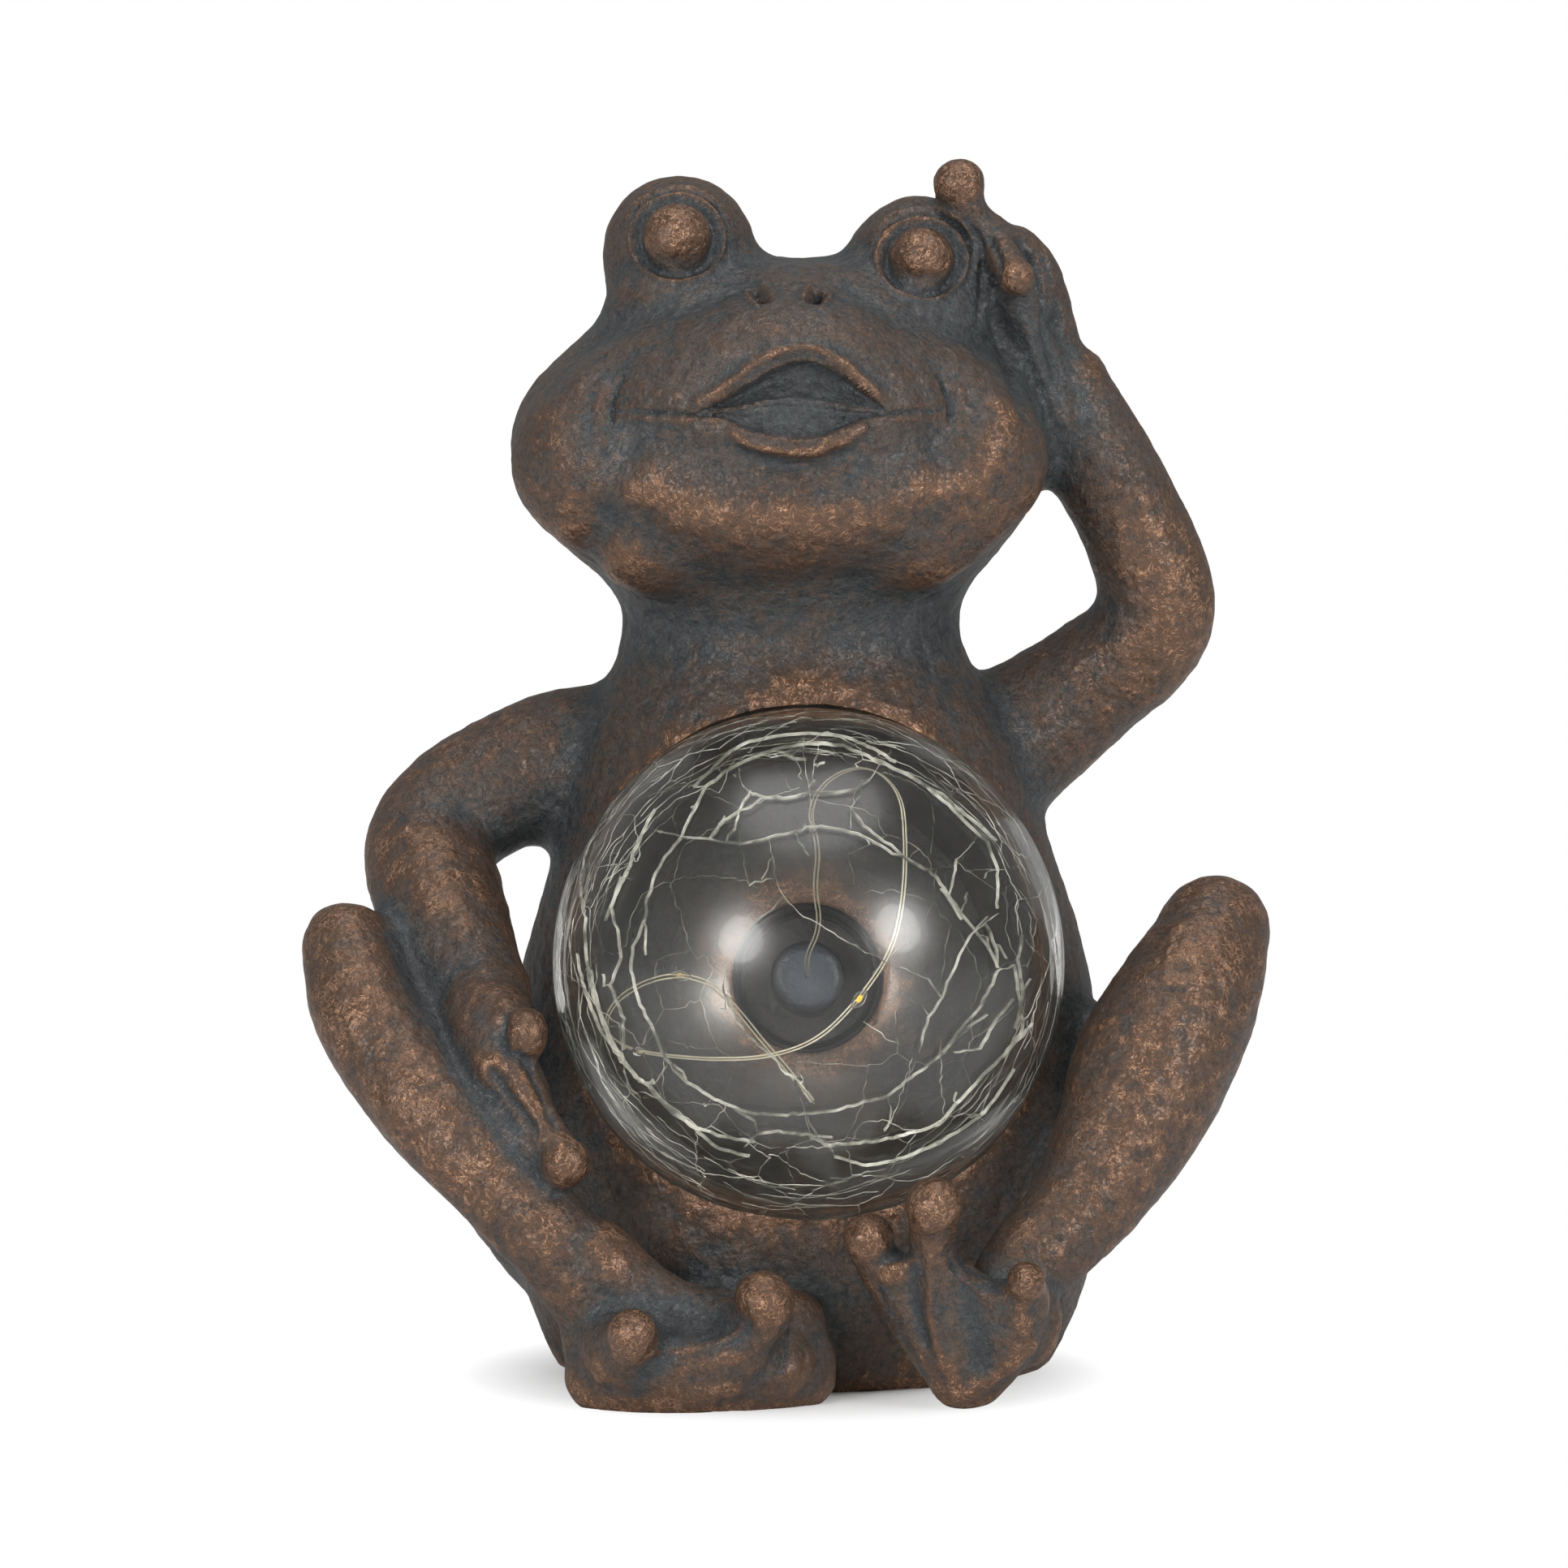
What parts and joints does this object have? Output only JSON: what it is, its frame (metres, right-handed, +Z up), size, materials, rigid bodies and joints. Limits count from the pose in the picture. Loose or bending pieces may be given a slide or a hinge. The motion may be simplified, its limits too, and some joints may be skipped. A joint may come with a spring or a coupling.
{
  "type": "frog figurine",
  "caption": "Seated frog ornament with a hand on its head and a crackled glass globe in its lap, lit by a lamp string from a solar module in its back.",
  "frame": {"origin": "middle of the figure's footprint, on the surface that it stands on", "axes": "+Z up, front of the frog and its globe towards -Y, +X to the right of someone who faces the frog"},
  "size_m": [0.1912, 0.15, 0.2409],
  "materials": {
    "resin": "bronze patina, satin, pitted",
    "crackle_glass": "clear, crackled",
    "silicone": "clear silicone",
    "black_rubber": "matt",
    "dark_plastic": "matt",
    "grey_plastic": "satin",
    "enamel_wire": "enamelled, satin",
    "lamp_bead": "clear lacquer over yellow phosphor",
    "lead_jacket": "smooth jacket",
    "foam": "closed-cell foam",
    "black_plastic": "fine texture",
    "steel": "zinc plated",
    "green_board": "lacquered board",
    "silicon": "dark blue cell",
    "tinned_strip": "tinned",
    "clear_sheet": "clear, glossy",
    "red_jacket": "smooth jacket",
    "cell_can": "nickel plated",
    "cell_wrap": "shrink wrap",
    "nickel_strip": "nickel plated",
    "part_case": "moulded",
    "switch_plastic": "moulded",
    "white_plastic": "moulded"
  },
  "bodies": {
    "figure": {"frog_casting": "resin", "base_plate": "dark_plastic", "glass_globe": "crackle_glass", "globe_bedding": "silicone", "neck_washer": "black_rubber", "neck_collar": "dark_plastic", "string_plug": "grey_plastic", "string_wire": "enamel_wire", "string_lamps": "lamp_bead", "string_lead": "lead_jacket", "module_gasket": "foam", "module_housing": "black_plastic", "module_cover": "black_plastic", "cover_screws": "steel", "panel_board": "green_board", "solar_cells": "silicon", "panel_tabs": "tinned_strip", "panel_window": "clear_sheet", "panel_leads": "red_jacket", "door_seal": "foam", "battery_cell": "cell_can", "battery_sleeve": "cell_wrap", "battery_cradle": "black_plastic", "positive_contact": "nickel_strip", "negative_contact": "nickel_strip", "battery_leads": "red_jacket", "control_board": "green_board", "board_parts": "part_case", "board_screws": "steel", "switch_case": "switch_plastic", "lead_grommet": "black_rubber"},
    "battery_door": {"battery_door": "black_plastic", "door_screw": "steel"},
    "switch_slider": {"switch_slider": "white_plastic"}
  },
  "joints": [
    {"name": "switch_slide", "type": "slide", "parent": "figure", "child": "switch_slider", "axis": [-1, 0, 0], "range_m": [0, 0.003]},
    {"name": "door_lift", "type": "slide", "parent": "figure", "child": "battery_door", "axis": [0, 0.9511, 0.309], "range_m": [0, 0.03]}
  ]
}
